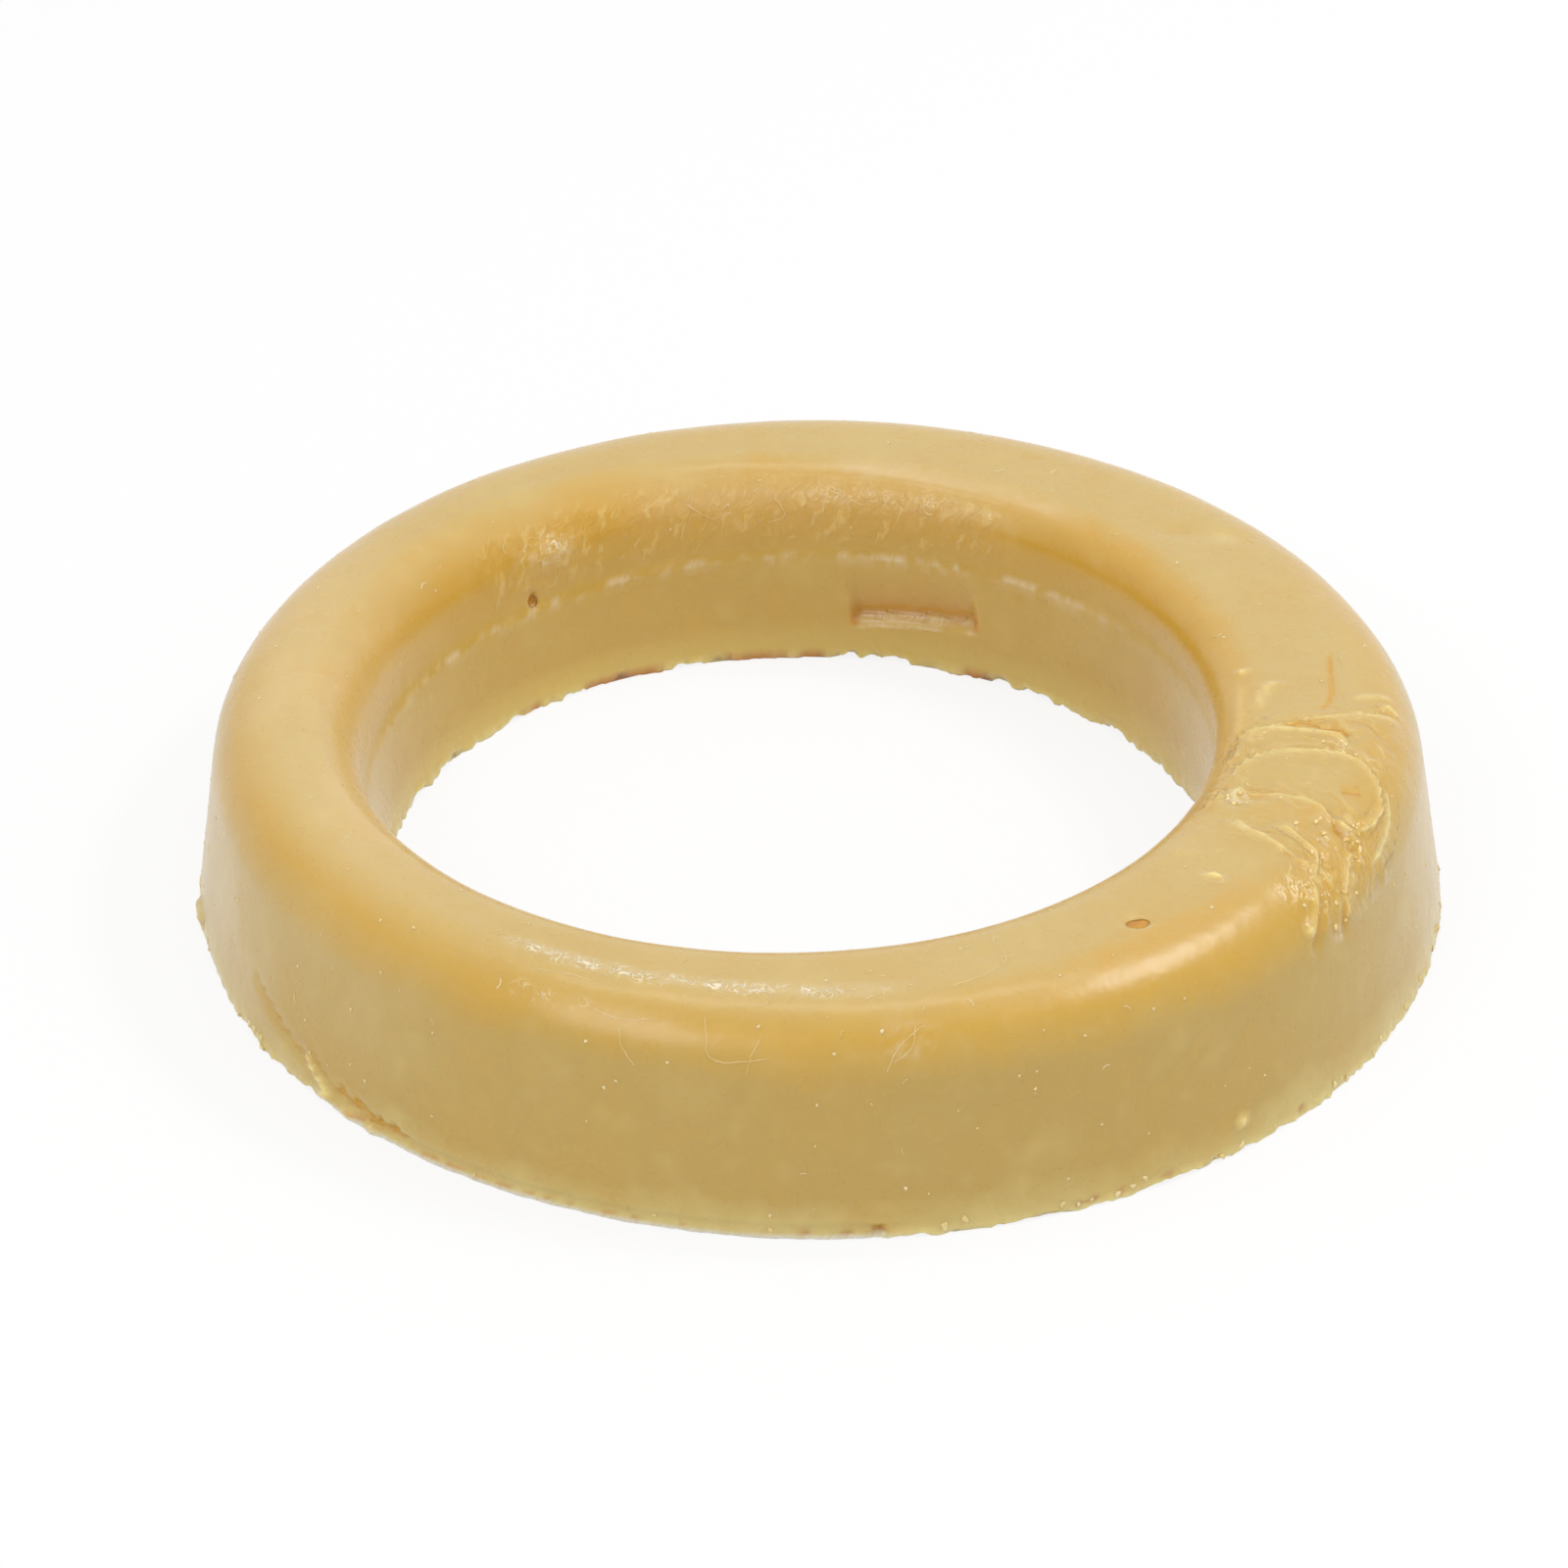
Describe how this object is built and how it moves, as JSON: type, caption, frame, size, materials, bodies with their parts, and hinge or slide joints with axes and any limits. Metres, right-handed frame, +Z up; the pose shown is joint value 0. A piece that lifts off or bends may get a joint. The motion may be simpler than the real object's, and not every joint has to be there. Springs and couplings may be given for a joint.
{
  "type": "toilet pan seal",
  "caption": "Soft wax ring that seals a toilet pan to the soil pipe flange, with a tapered outer wall, rounded crown, wide open hole and smeared, torn handling marks.",
  "frame": {"origin": "centre of the outer edge of the base, on the underside", "axes": "+Z up through the hole; +X towards the arm with the smeared wax; the picture looks along +Y"},
  "size_m": [0.1404, 0.1403, 0.0255],
  "materials": {
    "wax": "soft amber petroleum wax, satin, slightly translucent, mottled pale and orange"
  },
  "bodies": {
    "root": {"wax_ring": "wax"}
  },
  "joints": []
}
